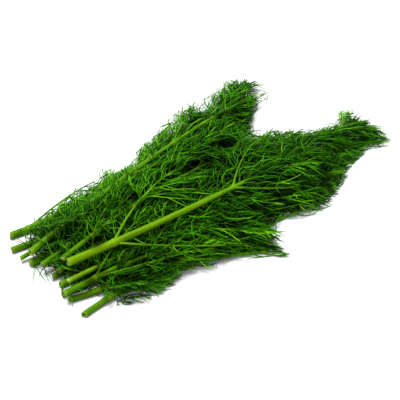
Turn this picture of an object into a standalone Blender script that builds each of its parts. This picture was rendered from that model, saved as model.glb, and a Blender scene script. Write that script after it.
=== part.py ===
# A bunch of cut dill, lying loose on a table: leafy stems in three layers. Each is one
# piece, as it grew: the stem, its side branches and their thread-like leaflets.
#
# Frame: +X runs from the cut ends to the leaf tips, +Z is up, and the origin is the middle
# of the bunch's box, on the table. Lengths are in mm until a mesh is made from them.

import math

import bmesh
import bpy
import numpy as np

MM = 0.001

# ---- driving dimensions -------------------------------------------------------------------

BOX_MIDDLE = (36.882, 27.425)  # mm, what moves the layout to the middle of its box

# Each leafy stem: the root, middle and tip of its underside, in mm; a height under 0 stands
# for lying flat on the table. Then the root's radius in mm, how far along the first pair of
# side branches stands, how many pairs there are, and how fast their spacing shrinks.
LEAFY_STEMS = {
    # on the table
    "leafy_stem_01": ((-107, 66, -1.5), (2, 68, 5), (137, 108, 1), 2.7, 0.07, 6, 0.84),
    "leafy_stem_02": ((-113, 53, -1.5), (5, 49, 5), (124, 80, -1), 2.4, 0.09, 6, 0.82),
    "leafy_stem_03": ((-110, 34, -1.5), (0, 26, 5), (124, 30, 0), 2.8, 0.10, 6, 0.80),
    "leafy_stem_04": ((-104, 14, -1.5), (32, 4, 5), (172, -11, -1), 2.4, 0.12, 6, 0.78),
    "leafy_stem_05": ((-104, 5, -1.5), (10, -11, 5), (146, -16, -1), 2.5, 0.13, 6, 0.80),
    "leafy_stem_06": ((-107, -3, -1.5), (-4, -20, 5), (110, -34, -1), 2.3, 0.14, 6, 0.80),
    "leafy_stem_07": ((-106, -10, -1.5), (-28, -27, 4), (79, -39, 0), 2.2, 0.15, 5, 0.84),
    "leafy_stem_08": ((-106, -27, -1.5), (-42, -30, 3), (30, -58, 0), 2.3, 0.17, 4, 0.92),
    # lying on those
    "leafy_stem_09": ((-113, 41, 2), (0, 49, 14), (104, 96, 6), 1.7, 0.09, 6, 0.82),
    "leafy_stem_10": ((-106, 23, 5.5), (2, 36, 15), (108, 66, 5), 2.3, 0.10, 6, 0.80),
    "leafy_stem_11": ((-101, 12, 5), (22, 12, 15), (171, 4, 9), 2.1, 0.13, 6, 0.78),
    "leafy_stem_12": ((-101, -1, 6.5), (12, -17, 15), (121, -29, 5), 1.9, 0.17, 6, 0.80),
    "leafy_stem_13": ((-108, -9, 6), (-34, -23, 13), (44, -48, 3), 2.0, 0.15, 5, 0.84),
    # on top
    "leafy_stem_14": ((-108, 35, 8.5), (15, 58, 18), (124, 80, 11), 2.6, 0.11, 6, 0.78),
    "leafy_stem_15": ((-96, 13, 12.5), (0, 24, 20), (98, 30, 10), 2.1, 0.135, 5, 0.78),
    "leafy_stem_16": ((-96, 5.5, 15), (4, -10.5, 25), (104, -5, 18), 2.8, 0.16, 5, 0.42),
}

# Side branches with a set course: stem, which pair, and 1 for its left or -1 for its right;
# then degrees from the stem, degrees above the level, and length in mm. Others are drawn.
SET_BRANCHES = {
    ("leafy_stem_16", 0, 1): (47.0, 6.0, 84.0),
    ("leafy_stem_16", 0, -1): (32.0, -16.0, 76.0),
    ("leafy_stem_16", 1, 1): (44.0, 12.0, 62.0),
    ("leafy_stem_16", 1, -1): (34.0, -12.0, 52.0),
    ("leafy_stem_01", 0, 1): (22.0, 14.0, 66.0),
    ("leafy_stem_04", 5, 1): (38.0, 16.0, 22.0),
    ("leafy_stem_08", 0, -1): (20.0, 2.0, 38.0),
    ("leafy_stem_08", 1, -1): (16.0, 4.0, 26.0),
    ("leafy_stem_08", 3, -1): (34.0, 6.0, 18.0),
    ("leafy_stem_11", 5, 1): (46.0, 2.0, 27.0),
    ("leafy_stem_11", 5, -1): (34.0, -4.0, 25.0),
}

STEM_SIDES = 6  # one side of every ring faces straight down
STEM_NARROWS = (0.42, 0.38)  # share of the radius lost with distance, and with its square
STEM_RINGS = 5  # besides those at its side branches
NODE_LENGTH = 2.4  # mm, the short thick stretch that a pair of side branches grows from
NODE_SWELLS = 1.12
LAST_NODE = 0.95  # how far along the stem the last pair stands
HOLLOW_SHARE = 0.52  # of the radius, at the cut end
HOLLOW_DEPTH = 2.0  # mm

BRANCH_SHORTEST = 13.0  # mm, a side branch at the stem's tip
BRANCH_GAIN = 72.0  # mm, what a branch at the root would have more
BRANCH_HALF_WIDTH = (0.55, 0.36)  # mm, beyond its foot and at its end
BRANCH_FOOT = 4.0  # mm, where it has narrowed down to that
BRANCH_OPENS = (24.0, 50.0)  # degrees from the stem
LOWEST_OPENS = (50.0, 105.0)  # for the lowest pair of a stem on the table
LOWEST_SHARE = 0.55  # of the length that pair would have
BRANCH_BENDS_FORWARD = 0.55  # share of that angle lost by its end
BRANCH_LEVEL_LOW = (-8.0, 42.0)  # degrees above the level, for a stem on the table
BRANCH_LEVEL_HIGH = (-38.0, 24.0)  # and for one on top of the bunch
HIGH = 30.0  # mm, where the second of those applies
BRANCH_SAG = 5.0  # mm, at the end of a branch of 60 mm

THREAD_STANDS_LONG = (0.34, 0.52, 0.69, 0.85)  # how far along a branch its threads stand
LONG = 52.0  # mm, for a branch over this
THREAD_STANDS = (0.36, 0.60, 0.82)
THREAD_STANDS_SHORT = (0.46, 0.76)  # along one shorter than SHORT
SHORT = 28.0  # mm
THREAD_FOOT = 0.9  # mm along the branch
THREAD_LENGTH = (9.0, 15.0)  # mm
THREAD_GAIN = 0.16  # what one further back on a long branch has more, as a share of the branch
THREAD_OPENS = (26.0, 48.0)  # degrees from the branch
THREAD_TURNS = 40.0  # degrees out of the branch's own plane, at most

# The bunch's outline on the table, in mm: its left side, its right side, and the gap
# between its two lobes. Each lobe slopes in on its left by as much as it rises.
LEFT_SIDE = (
    (-120, 68), (-76, 72), (-46, 76), (-41, 79), (-36, 76), (-21, 76), (-14, 83), (-9, 78),
    (0, 79), (18, 85), (34, 95), (54, 100), (68, 113), (80, 107), (89, 97), (99, 97),
    (105, 112), (126, 122), (138, 121), (150, 100), (156, 88),
)
RIGHT_SIDE = (
    (-120, -36), (-86, -32), (-70, -38), (-64, -42), (-54, -41), (-31, -37), (-19, -39),
    (-10, -43), (4, -44), (16, -49), (30, -60), (37, -64), (39, -44), (50, -38), (61, -38),
    (68, -42), (91, -49), (105, -42), (121, -34), (138, -24), (150, -22), (166, -18),
    (182, -24),
)
GAP_LEFT = ((84, 46), (94, 50), (108, 58), (121, 72), (134, 82), (150, 88))
GAP_RIGHT = (
    (84, 46), (95, 42), (117, 44), (134, 32), (145, 19), (158, 18), (174, 31), (179, 27),
    (186, 4),
)

TABLE_GAP = 0.35  # mm, branches and threads keep this far off the table
HIGHEST = 38.0  # mm, and no higher than this
CLEAR = 0.35  # mm, between the surfaces of two pieces
TRIES = 60
THREAD_TRIES = 16
SEED = 20

STEM_GREEN = (0.13, 0.27, 0.015, 1.0)


# ---- places and directions, as numpy arrays in mm -----------------------------------------


def unit(v):
    return v / np.linalg.norm(v, axis=-1, keepdims=True)


def stem_radius(size, t):
    return size * (1 - STEM_NARROWS[0] * t - STEM_NARROWS[1] * t * t)


def stem_line(stem, t):
    """Points on a stem's centre line, over the parabola through its root, middle and tip."""
    root, middle, tip, size = stem[:4]
    t = np.atleast_1d(np.asarray(t, float))[:, None]
    line = (
        np.array(root, float) * (1 - t) * (1 - 2 * t)
        + np.array(middle, float) * 4 * t * (1 - t)
        + np.array(tip, float) * t * (2 * t - 1)
    )
    flat_side = math.cos(math.pi / STEM_SIDES) * stem_radius(size, t[:, 0])
    line[:, 2] = np.maximum(line[:, 2], 0.0) + flat_side
    return line


def stem_length(stem):
    line = stem_line(stem, np.linspace(0, 1, 33))
    return np.linalg.norm(line[1:] - line[:-1], axis=1).sum()


def stem_heading(stem, t):
    step = 1e-3
    ends = stem_line(stem, [max(t - step, 0.0), min(t + step, 1.0)])
    return unit(ends[1] - ends[0])


def node_places(stem):
    """How far along the stem its pairs of branches stand, closer and closer to the tip."""
    first, count, shrink = stem[4:]
    steps = shrink ** np.arange(count - 1)
    return first + (LAST_NODE - first) * np.concatenate([[0.0], np.cumsum(steps) / steps.sum()])


def level_side(heading):
    """The level direction to the left of a heading."""
    return unit(np.array([-heading[1], heading[0], 0.0]))


def branch_line(branch, u):
    """Points of a side branch: an arc that bends forward, sags, and stays off the table."""
    start, heading, side, opens, level, length = branch
    u = np.asarray(u, float)
    outward = side * math.cos(level) + np.array([0.0, 0.0, 1.0]) * math.sin(level)
    turned = opens * (1 - BRANCH_BENDS_FORWARD * u)
    bend = opens * BRANCH_BENDS_FORWARD
    ahead = (math.sin(opens) - np.sin(turned)) / bend
    aside = (np.cos(turned) - math.cos(opens)) / bend
    line = start + length * (ahead[:, None] * heading + aside[:, None] * outward)
    line[:, 2] -= BRANCH_SAG * (length / 60.0) ** 2 * u * u
    line[:, 2] = np.maximum(line[:, 2], TABLE_GAP + BRANCH_HALF_WIDTH[0])
    return line


def thread_stands(length):
    if length > LONG:
        return THREAD_STANDS_LONG
    return THREAD_STANDS if length > SHORT else THREAD_STANDS_SHORT


def inside_outline(points):
    x, y, z = points.T
    left = np.interp(x, *np.array(LEFT_SIDE, float).T) - 0.9 * z
    right = np.interp(x, *np.array(RIGHT_SIDE, float).T)
    gap_left = np.interp(x, *np.array(GAP_LEFT, float).T)
    gap_right = np.interp(x, *np.array(GAP_RIGHT, float).T) - 0.9 * z
    in_gap = (x > GAP_LEFT[0][0]) & (y < gap_left) & (y > gap_right)
    beyond = (x > LEFT_SIDE[-1][0]) & (y > gap_right)
    return bool(((y < left) & (y > right) & ~in_gap & ~beyond & (x < RIGHT_SIDE[-1][0])).all())


# ---- keeping clear ------------------------------------------------------------------------


class Rods:
    """Straight rods with a radius and an owner, and the gap between them and a new line."""

    def __init__(self):
        self.starts = np.zeros((0, 3))
        self.ends = np.zeros((0, 3))
        self.radii = np.zeros(0)
        self.owners = np.zeros(0, int)

    def add(self, line, radii, owner):
        self.starts = np.concatenate([self.starts, line[:-1]])
        self.ends = np.concatenate([self.ends, line[1:]])
        self.radii = np.concatenate([self.radii, radii])
        self.owners = np.concatenate([self.owners, np.full(len(radii), owner)])

    def smallest_gap(self, line, radii, wanted):
        """The smallest gap between the surfaces of line's rods and the wanted rods here."""
        if not wanted.any():
            return np.inf
        p, d = line[:-1, None], (line[1:] - line[:-1])[:, None]
        q, e = self.starts[None, wanted], (self.ends - self.starts)[None, wanted]
        r = p - q
        dd, ee = (d * d).sum(-1), (e * e).sum(-1)
        de, dr, er = (d * e).sum(-1), (d * r).sum(-1), (e * r).sum(-1)
        s = np.clip((de * er - ee * dr) / np.maximum(dd * ee - de * de, 1e-9), 0, 1)
        t = np.clip((de * s + er) / ee, 0, 1)
        s = np.clip((de * t - dr) / dd, 0, 1)
        apart = np.linalg.norm(r + s[..., None] * d - t[..., None] * e, axis=-1)
        return (apart - radii[:, None] - self.radii[None, wanted]).min()


def branch_rods(branch):
    """The rods of a branch: its wide foot, then straight from one stand of threads to the next."""
    length = branch[5]
    u = np.array([0.0, BRANCH_FOOT / length, *thread_stands(length), 1.0])
    radii = np.full(len(u) - 1, BRANCH_HALF_WIDTH[0] * math.sqrt(2))
    radii[0] = 1.3
    return branch_line(branch, u), radii


def grow_branches(rng):
    """The side branches of every stem, each clear of every stem and of every other branch."""
    rods = Rods()
    for owner, stem in enumerate(LEAFY_STEMS.values()):
        t = np.linspace(0.0, 1.0, 17)
        radii = NODE_SWELLS * stem_radius(stem[3], (t[1:] + t[:-1]) / 2)
        rods.add(stem_line(stem, t), radii, owner)
    stem_rods = len(rods.radii)
    grown = [[] for _ in LEAFY_STEMS]
    # the stems on top grow first, so that theirs are the fullest
    for owner, (name, stem) in reversed(list(enumerate(LEAFY_STEMS.items()))):
        for node, t in enumerate(node_places(stem)):
            start = stem_line(stem, t)[0]
            heading = stem_heading(stem, t)
            raised = min(start[2] / HIGH, 1.0)
            levels = [
                low * (1 - raised) + high * raised
                for low, high in zip(BRANCH_LEVEL_LOW, BRANCH_LEVEL_HIGH)
            ]
            longest = BRANCH_SHORTEST + BRANCH_GAIN * (1 - t)
            widths = BRANCH_OPENS
            if node == 0 and stem[0][2] < 0:
                longest *= LOWEST_SHARE
                widths = LOWEST_OPENS
            for hand in (1, -1):
                for attempt in range(TRIES):
                    opens = rng.uniform(*widths) * (1 - 0.5 * attempt / TRIES)
                    level = rng.uniform(*levels)
                    length = longest * rng.uniform(0.85, 1.1) * (1 - 0.6 * attempt / TRIES)
                    is_set = attempt == 0 and (name, node, hand) in SET_BRANCHES
                    if is_set:
                        opens, level, length = SET_BRANCHES[name, node, hand]
                    opens, level = math.radians(opens), math.radians(level)
                    branch = (start, heading, hand * level_side(heading), opens, level, length)
                    line, radii = branch_rods(branch)
                    others = rods.owners != owner
                    own = ~others
                    own[:stem_rods] = False
                    if (
                        (is_set or inside_outline(line[1:]))
                        and line[:, 2].max() < HIGHEST
                        and rods.smallest_gap(line, radii, others) > CLEAR
                        and rods.smallest_gap(line[1:], radii[1:], own) > CLEAR
                    ):
                        grown[owner].append((t, hand, branch))
                        rods.add(line, radii, owner)
                        break
    return rods, grown


# ---- meshes -------------------------------------------------------------------------------


def ring(centre, heading, radius):
    """The corners of a stem's ring: in an upright plane, from the left side over the top."""
    side = level_side(heading)
    angles = np.arange(STEM_SIDES) * 2 * math.pi / STEM_SIDES
    up = np.array([0.0, 0.0, 1.0])
    return centre + radius * (np.cos(angles)[:, None] * side + np.sin(angles)[:, None] * up)


def place(verts, points):
    for vert, point in zip(verts, points):
        vert.co = point


def push_out(bm, face, points):
    """Draw a face out to new corners; returns the new face and its sides, edge by edge."""
    new = bmesh.ops.extrude_discrete_faces(bm, faces=[face])["faces"][0]
    place(new.verts, points)
    sides = [next(f for f in loop.edge.link_faces if f is not new) for loop in new.loops]
    return new, sides


def grow_stem(bm, stem, places):
    """The stem's own body; returns the side faces of each thick stretch, by its place."""
    size = stem[3]
    half = NODE_LENGTH / 2 / stem_length(stem)
    rest = np.linspace(0.0, 1.0, STEM_RINGS + 2)
    rest[1] = 0.045
    far = np.abs(rest[:, None] - places[None]).min(axis=1) > 5 * half
    swollen = np.concatenate([places - half, places + half])
    t = np.sort(np.concatenate([rest[far | (rest == 0) | (rest == 1)], swollen]))
    thick = {}
    corners = ring(stem_line(stem, 0)[0], stem_heading(stem, 0), size)
    face = bm.faces.new([bm.verts.new(c) for c in corners])
    root = list(face.verts)
    for before, now in zip(t[:-1], t[1:]):
        swells = NODE_SWELLS if (np.abs(swollen - now) < 1e-9).any() else 1.0
        corners = ring(
            stem_line(stem, now)[0], stem_heading(stem, now), swells * stem_radius(size, now)
        )
        if swells > 1.0:
            corners[:, 2] -= corners[4, 2] - max(corners[4, 2], TABLE_GAP)
        face, sides = push_out(bm, face, corners)
        for place_index, at in enumerate(places):
            if before < at < now:
                thick[place_index] = sides
    tip = bmesh.ops.poke(bm, faces=[face])["verts"][0]
    end = stem_line(stem, 1)[0] + stem_heading(stem, 1) * THREAD_LENGTH[1] * 0.7
    end[2] = max(end[2], TABLE_GAP)
    tip.co = end
    cut = bm.faces.new(root[::-1])
    cut.normal_update()
    bmesh.ops.inset_individual(bm, faces=[cut], thickness=size * (1 - HOLLOW_SHARE) * 0.87)
    inward = stem_heading(stem, 0) * HOLLOW_DEPTH
    push_out(bm, cut, [np.array(v.co) + inward for v in cut.verts])
    return thick


def grow_threads(bm, rng, rods, owner, rings, quads, more):
    """Threads drawn out of the sides of a short stretch of branch, where they stay clear."""
    d, u, w, centre, half = rings
    ways = ((w, u), (-w, u), (u, w), (-u, w))
    out = [np.array(quad.calc_center_median()) - centre for quad in quads]
    faced = [max(range(4), key=lambda k: np.dot(out[k], across)) for across, up in ways]
    for (across, up), k in zip(ways, faced):
        for attempt in range(THREAD_TRIES):
            opens = math.radians(rng.uniform(*THREAD_OPENS))
            turn = math.radians(rng.uniform(-THREAD_TURNS, THREAD_TURNS))
            length = (rng.uniform(*THREAD_LENGTH) + more) * (1 - 0.4 * attempt / THREAD_TRIES)
            aside = across * math.cos(turn) + up * math.sin(turn)
            direction = d * math.cos(opens) + aside * math.sin(opens)
            start = centre + across * half
            line = np.stack([start, start + direction * 2.6, start + direction * length])
            radii = THREAD_FOOT * np.array([0.62, 0.48])
            others = rods.owners != owner
            if (
                line[:, 2].min() > TABLE_GAP + 0.1
                and line[:, 2].max() < HIGHEST
                and inside_outline(line[:2])
                and rods.smallest_gap(line, radii, others) > CLEAR
                and rods.smallest_gap(line[1:], radii[1:], ~others) > 0.1
            ):
                tip = bmesh.ops.poke(bm, faces=[quads[k]])["verts"][0]
                tip.co = line[2]
                rods.add(line, radii, owner)
                break


def grow_branch(bm, rng, rods, owner, stem, grown, sides):
    """A side branch drawn out of a side of the thick stretch, with threads along it."""
    t, hand, branch = grown
    start, heading, side, opens, level, length = branch
    index = {1: (0, 5), -1: (2, 3)}[hand][int(level < 0)]
    face = sides[index]
    around = ring(start, heading, 1.0)
    across = unit(around[(index + 1) % STEM_SIDES] - around[index])
    corners = [
        (
            math.copysign(1, np.dot(np.array(v.co) - start, heading)),
            math.copysign(1, np.dot(np.array(v.co) - np.array(face.calc_center_median()), across)),
        )
        for v in face.verts
    ]
    half_foot = THREAD_FOOT / 2 / length
    stands = thread_stands(length)
    stations = [(BRANCH_FOOT / length, None)]
    for stand in stands:
        stations += [(stand - half_foot, None), (stand + half_foot, stand)]
    for u_now, stand in stations:
        near = branch_line(branch, [max(u_now - 0.02, 0.0), min(u_now + 0.02, 1.0)])
        d = unit(near[1] - near[0])
        u = unit(across - np.dot(across, d) * d)
        w = np.cross(d, u)
        half = BRANCH_HALF_WIDTH[0] * (1 - u_now) + BRANCH_HALF_WIDTH[1] * u_now
        centre = branch_line(branch, [u_now])[0]
        points = [centre + half * (along * w + round_ * u) for along, round_ in corners]
        face, quads = push_out(bm, face, points)
        if stand is not None:
            middle = branch_line(branch, [stand])[0]
            more = THREAD_GAIN * length * (1 - stand)
            grow_threads(bm, rng, rods, owner, (d, u, w, middle, half), quads, more)
    tip = bmesh.ops.poke(bm, faces=[face])["verts"][0]
    tip.co = branch_line(branch, [1.0])[0]


def make_material(name, colour):
    material = bpy.data.materials.new(name)
    material.use_nodes = True
    shader = material.node_tree.nodes["Principled BSDF"]
    shader.inputs["Base Color"].default_value = colour
    shader.inputs["Roughness"].default_value = 0.55
    return material


def build():
    for thing in list(bpy.data.objects):
        bpy.data.objects.remove(thing)
    rng = np.random.default_rng(SEED)
    rods, grown = grow_branches(rng)
    for owner, (name, stem) in enumerate(LEAFY_STEMS.items()):
        places = node_places(stem)
        bm = bmesh.new()
        thick = grow_stem(bm, stem, places)
        for branch in grown[owner]:
            at = int(np.abs(places - branch[0]).argmin())
            grow_branch(bm, rng, rods, owner, stem, branch, thick[at])
        bmesh.ops.triangulate(bm, faces=bm.faces)
        bmesh.ops.translate(bm, verts=bm.verts, vec=(-BOX_MIDDLE[0], -BOX_MIDDLE[1], 0.0))
        bmesh.ops.scale(bm, verts=bm.verts, vec=(MM, MM, MM))
        mesh = bpy.data.meshes.new(name)
        bm.to_mesh(mesh)
        bm.free()
        mesh.materials.append(make_material(name, STEM_GREEN))
        bpy.context.scene.collection.objects.link(bpy.data.objects.new(name, mesh))


build()
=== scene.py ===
import math

import bpy
import numpy as np
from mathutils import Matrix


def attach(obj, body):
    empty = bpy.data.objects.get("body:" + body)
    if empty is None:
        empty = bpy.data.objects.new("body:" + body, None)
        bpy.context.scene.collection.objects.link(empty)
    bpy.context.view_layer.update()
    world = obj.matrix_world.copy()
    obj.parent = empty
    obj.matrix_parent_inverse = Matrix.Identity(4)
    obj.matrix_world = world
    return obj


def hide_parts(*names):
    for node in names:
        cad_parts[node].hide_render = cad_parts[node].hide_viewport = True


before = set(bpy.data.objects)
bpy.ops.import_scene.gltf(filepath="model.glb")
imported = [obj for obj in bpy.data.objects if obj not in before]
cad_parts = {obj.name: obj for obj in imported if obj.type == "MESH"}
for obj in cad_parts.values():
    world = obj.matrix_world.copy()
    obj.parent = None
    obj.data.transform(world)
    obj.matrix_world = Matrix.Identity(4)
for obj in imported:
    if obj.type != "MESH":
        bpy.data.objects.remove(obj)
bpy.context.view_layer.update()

# A bunch of cut dill, lying loose: the CAD's leafy stems are replaced by ribbed, hollow-cut
# stems and by their feathery leaves, grown out of the same side branches by a seeded rule.
# Lengths are in mm, in the layout's own frame, until a mesh is made from them.

mm = 0.001

layout = {
    "middle": (36.882, 27.425),  # the middle of the layout's box, which becomes the origin
    "seed": 20,
    # root, middle and tip of a stem's underside; a height under 0 lies flat on the table.
    # Then the root's radius, where the first pair of side branches stands, how many pairs
    # there are, and how fast their spacing shrinks. Stems go by their numbers from here on.
    "stems": {
        1: ((-107, 66, -1.5), (2, 68, 5), (137, 108, 1), 2.7, 0.07, 6, 0.84),
        2: ((-113, 53, -1.5), (5, 49, 5), (124, 80, -1), 2.4, 0.09, 6, 0.82),
        3: ((-110, 34, -1.5), (0, 26, 5), (124, 30, 0), 2.8, 0.1, 6, 0.8),
        4: ((-104, 14, -1.5), (32, 4, 5), (172, -11, -1), 2.4, 0.12, 6, 0.78),
        5: ((-104, 5, -1.5), (10, -11, 5), (146, -16, -1), 2.5, 0.13, 6, 0.8),
        6: ((-107, -3, -1.5), (-4, -20, 5), (110, -34, -1), 2.3, 0.14, 6, 0.8),
        7: ((-106, -10, -1.5), (-28, -27, 4), (79, -39, 0), 2.2, 0.15, 5, 0.84),
        8: ((-106, -27, -1.5), (-42, -30, 3), (30, -58, 0), 2.3, 0.17, 4, 0.92),
        9: ((-113, 41, 2), (0, 49, 14), (104, 96, 6), 1.7, 0.09, 6, 0.82),
        10: ((-106, 23, 5.5), (2, 36, 15), (108, 66, 5), 2.3, 0.1, 6, 0.8),
        11: ((-101, 12, 5), (22, 12, 15), (171, 4, 9), 2.1, 0.13, 6, 0.78),
        12: ((-101, -1, 6.5), (12, -17, 15), (121, -29, 5), 1.9, 0.17, 6, 0.8),
        13: ((-108, -9, 6), (-34, -23, 13), (44, -48, 3), 2, 0.15, 5, 0.84),
        14: ((-108, 35, 8.5), (15, 58, 18), (124, 80, 11), 2.6, 0.11, 6, 0.78),
        15: ((-96, 13, 12.5), (0, 24, 20), (98, 30, 10), 2.1, 0.135, 5, 0.78),
        16: ((-96, 5.5, 15), (4, -10.5, 25), (104, -5, 18), 2.8, 0.16, 5, 0.42),
    },
    "stemNarrows": (0.42, 0.38),
    "nodeSwells": 1.12,
    "lastNode": 0.95,  # where the last pair of side branches stands
    # side branches with a set course: stem, which pair, and 1 for its left or -1 for its
    # right; then degrees from the stem, degrees above the level, and length
    "setBranches": {
        (16, 0, 1): (47, 6, 84), (16, 0, -1): (32, -16, 76),
        (16, 1, 1): (44, 12, 62), (16, 1, -1): (34, -12, 52),
        (1, 0, 1): (22, 14, 66), (4, 5, 1): (38, 16, 22),
        (8, 0, -1): (20, 2, 38), (8, 1, -1): (16, 4, 26),
        (8, 3, -1): (34, 6, 18), (11, 5, 1): (46, 2, 27),
        (11, 5, -1): (34, -4, 25),
    },
    # the bunch's outline on the table: left, right, and the gap between its two lobes. Its left
    # side and the gap's right side lean inwards, by so many mm a mm of height.
    "outlineLeans": 0.9,
    "leftSide": ((-120, 68), (-76, 72), (-46, 76), (-41, 79), (-36, 76), (-21, 76), (-14, 83),
                 (-9, 78), (0, 79), (18, 85), (34, 95), (54, 100), (68, 113), (80, 107),
                 (89, 97), (99, 97), (105, 112), (126, 122), (138, 121), (150, 100), (156, 88)),
    "rightSide": ((-120, -36), (-86, -32), (-70, -38), (-64, -42), (-54, -41), (-31, -37),
                  (-19, -39), (-10, -43), (4, -44), (16, -49), (30, -60), (37, -64),
                  (39, -44), (50, -38), (61, -38), (68, -42), (91, -49), (105, -42),
                  (121, -34), (138, -24), (150, -22), (166, -18), (182, -24)),
    "gapLeft": ((84, 46), (94, 50), (108, 58), (121, 72), (134, 82), (150, 88)),
    "gapRight": ((84, 46), (95, 42), (117, 44), (134, 32), (145, 19), (158, 18), (174, 31),
                 (179, 27), (186, 4)),
}

sideBranch = {
    "shortest": 13,  # mm, at a stem's tip
    "gain": 72,  # mm longer than that at its root
    "lengths": (0.85, 1.1),  # by what that is drawn shorter or longer
    "usual": 60,  # mm: the length that sags and thicknesses are given for
    "halfWidth": 0.55,
    "foot": 4,  # mm at its foot that are thicker
    "footRadius": 1.3,
    "opens": (24, 50),  # degrees from the stem at its foot
    "lowestOpens": (50, 105),
    "lowestShare": 0.55,
    "bends": 0.55,  # what share of that angle is gone at its tip
    "levelLow": (-8, 42),  # degrees above the level, on stems at the table
    "levelHigh": (-38, 24),  # and on stems this high
    "high": 30,
    "sag": 5,
    # where leaves stand on those longer than so many mm
    "stands": ((52, (0.34, 0.52, 0.69, 0.85)), (28, (0.36, 0.6, 0.82)),
               (0, (0.46, 0.76))),
    "stemRods": 16,
    "tableGap": 0.35,
    "highest": 38,
    "clear": 0.35,
    "tries": 60,
    "closes": 0.5,  # how much less the last tries open, and how much shorter they are
    "shortens": 0.6,
}


# the stems' and side branches' routes, the same as the CAD's


def unit(v):
    # the same directions, 1 long
    return v / np.linalg.norm(v, axis=-1, keepdims=True)


def between(x, table):
    # a table's second column by its first, with straight lines between its rows
    return np.interp(x, *np.array(table, float).T)


def stemRadius(size, t):
    # the root's radius, less a share of t and a share of t squared
    a, b = layout["stemNarrows"]
    return size * (1 - a * t - b * t * t)


def stemLine(stem, t):
    # a parabola through root, middle and tip, lifted by the hexagon's flat side
    root, middle, tip, size = stem[:4]
    t = np.atleast_1d(np.asarray(t, float))[:, None]
    line = (
        np.array(root, float) * (1 - t) * (1 - 2 * t)
        + np.array(middle, float) * 4 * t * (1 - t)
        + np.array(tip, float) * t * (2 * t - 1)
    )
    flatSide = math.cos(math.pi / 6) * stemRadius(size, t[:, 0])
    line[:, 2] = np.maximum(line[:, 2], 0.0) + flatSide
    return line


def headings(lineAt, t, step):
    # along a line, from a step before each place to a step past it
    return unit(lineAt(np.minimum(t + step, 1.0)) - lineAt(np.maximum(t - step, 0.0)))


def nodePlaces(stem):
    # from the first pair to the last, each gap so many times the one before
    first, count, shrink = stem[4:]
    steps = shrink ** np.arange(count - 1)
    shares = np.concatenate([[0.0], np.cumsum(steps) / steps.sum()])
    return first + (layout["lastNode"] - first) * shares


def levelSide(headings):
    # level, and to the left of where the headings go
    x, y = headings[..., 0], headings[..., 1]
    return unit(np.stack([-y, x, 0 * x], axis=-1))


def branchSide(side, level):
    # the way a side branch leaves its stem: to one side, tilted up by its level
    return side * math.cos(level) + np.array([0.0, 0.0, 1.0]) * math.sin(level)


def arc(start, heading, outward, opens, bends, length, u):
    # opens from its heading at the start, by an angle of which a share is gone evenly by its end
    bend = opens * bends
    turned = opens - bend * u
    ahead = (np.sin(opens) - np.sin(turned)) / bend
    aside = (np.cos(turned) - np.cos(opens)) / bend
    return start + length * (ahead[..., None] * heading + aside[..., None] * outward)


def branchLine(branch, u):
    # an arc, less a sag that grows with distance
    start, heading, side, opens, level, length = branch
    outward = branchSide(side, level)
    line = arc(start, heading, outward, opens, sideBranch["bends"], length, u)
    line[:, 2] -= sideBranch["sag"] * (length / sideBranch["usual"]) ** 2 * u * u
    line[:, 2] = np.maximum(line[:, 2], sideBranch["tableGap"] + sideBranch["halfWidth"])
    return line


def outlineRoom(points):
    # how far points are inside the bunch's outline, in mm across it; under 0 is outside
    x, y, z = points[..., 0], points[..., 1], points[..., 2]
    sides = ("leftSide", "rightSide", "gapLeft", "gapRight")
    left, right, gapLeft, gapRight = (between(x, layout[side]) for side in sides)
    left = left - layout["outlineLeans"] * z
    gapRight = gapRight - layout["outlineLeans"] * z
    room = np.minimum(left - y, y - right)
    inGap = x > layout["gapLeft"][0][0]
    room = np.where(inGap, np.minimum(room, np.maximum(y - gapLeft, gapRight - y)), room)
    beyond = x > layout["leftSide"][-1][0]
    room = np.where(beyond, np.minimum(room, gapRight - y), room)
    return np.minimum(room, layout["rightSide"][-1][0] - x)


def pick(group, wanted):
    # some of a group of rods or of arcs, which is a dictionary of arrays
    return {name: values[wanted] for name, values in group.items()}


def join(groups):
    # groups as one, with the values that all of them have
    shared = [name for name in groups[0] if all(name in group for group in groups)]
    return {name: np.concatenate([group[name] for group in groups]) for name in shared}


def lineRods(line, radii, owner):
    # a line's straight stretches as rods with a radius and an owner
    owners = np.full(len(radii), owner)
    return {"starts": line[:-1], "ends": line[1:], "radii": radii, "owners": owners}


def smallestGap(line, radii, rods):
    # the nearest points of two straight stretches, held to their ends, less both radii
    if not len(rods["radii"]):
        return np.inf
    p, d = line[:-1, None], (line[1:] - line[:-1])[:, None]
    q, e = rods["starts"][None], (rods["ends"] - rods["starts"])[None]
    r = p - q
    dd, ee = (d * d).sum(-1), (e * e).sum(-1)
    de, dr, er = (d * e).sum(-1), (d * r).sum(-1), (e * r).sum(-1)
    s = np.clip((de * er - ee * dr) / np.maximum(dd * ee - de * de, 1e-9), 0, 1)
    t = np.clip((de * s + er) / ee, 0, 1)
    s = np.clip((de * t - dr) / dd, 0, 1)
    apart = np.linalg.norm(r + s[..., None] * d - t[..., None] * e, axis=-1)
    return (apart - radii[:, None] - rods["radii"]).min()


def branchStretches(branch):
    # a side branch's straight stretches, from its foot over the places where its leaves stand
    length = branch[5]
    stands = next(places for least, places in sideBranch["stands"] if length > least)
    u = np.array([0.0, sideBranch["foot"] / length, *stands, 1.0])
    radii = np.full(len(u) - 1, sideBranch["halfWidth"] * math.sqrt(2))
    radii[0] = sideBranch["footRadius"]
    return branchLine(branch, u), radii


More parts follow.
